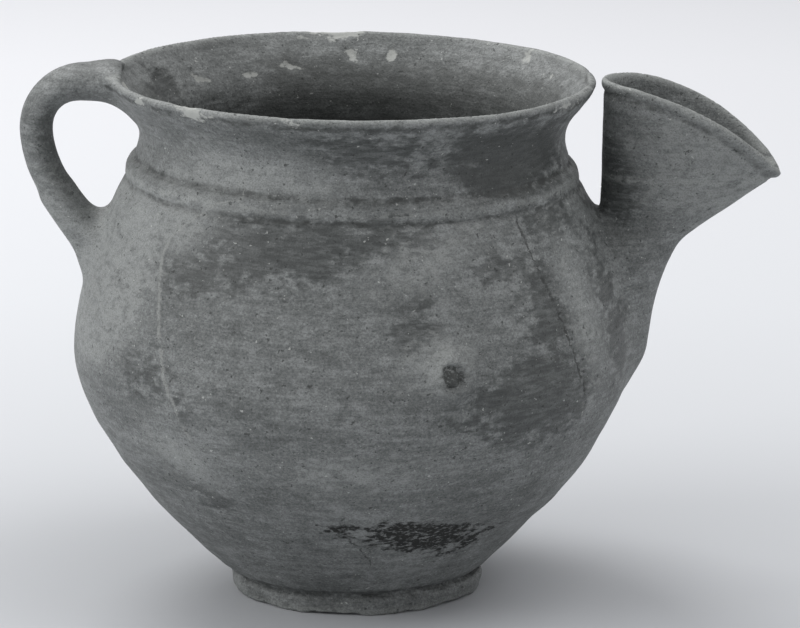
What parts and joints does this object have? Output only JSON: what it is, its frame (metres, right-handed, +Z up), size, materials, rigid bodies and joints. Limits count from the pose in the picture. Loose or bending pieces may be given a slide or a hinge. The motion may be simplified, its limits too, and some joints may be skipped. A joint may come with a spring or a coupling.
{
  "type": "spouted jar",
  "caption": "Wide-mouthed grey pottery jar with a round belly, disc foot, banded neck, flared rim, strap handle and an upright funnel spout.",
  "frame": {"origin": "on the jar's vertical axis, in the plane of the foot's flat resting face", "axes": "+Z up along the jar's axis, +X towards the spout, handle towards -X, the pictured side towards -Y"},
  "size_m": [0.2645, 0.1958, 0.1868],
  "materials": {
    "grey_ware": "matt fired clay, smoothed, with wheel lines, stains, chips and white grit"
  },
  "bodies": {
    "root": {"foot": "grey_ware", "lower_body": "grey_ware", "upper_body": "grey_ware", "neck_band": "grey_ware", "neck": "grey_ware", "handle": "grey_ware", "handle_rim_luting": "grey_ware", "handle_root_luting": "grey_ware", "spout": "grey_ware", "spout_luting": "grey_ware", "boss": "grey_ware"}
  },
  "joints": []
}
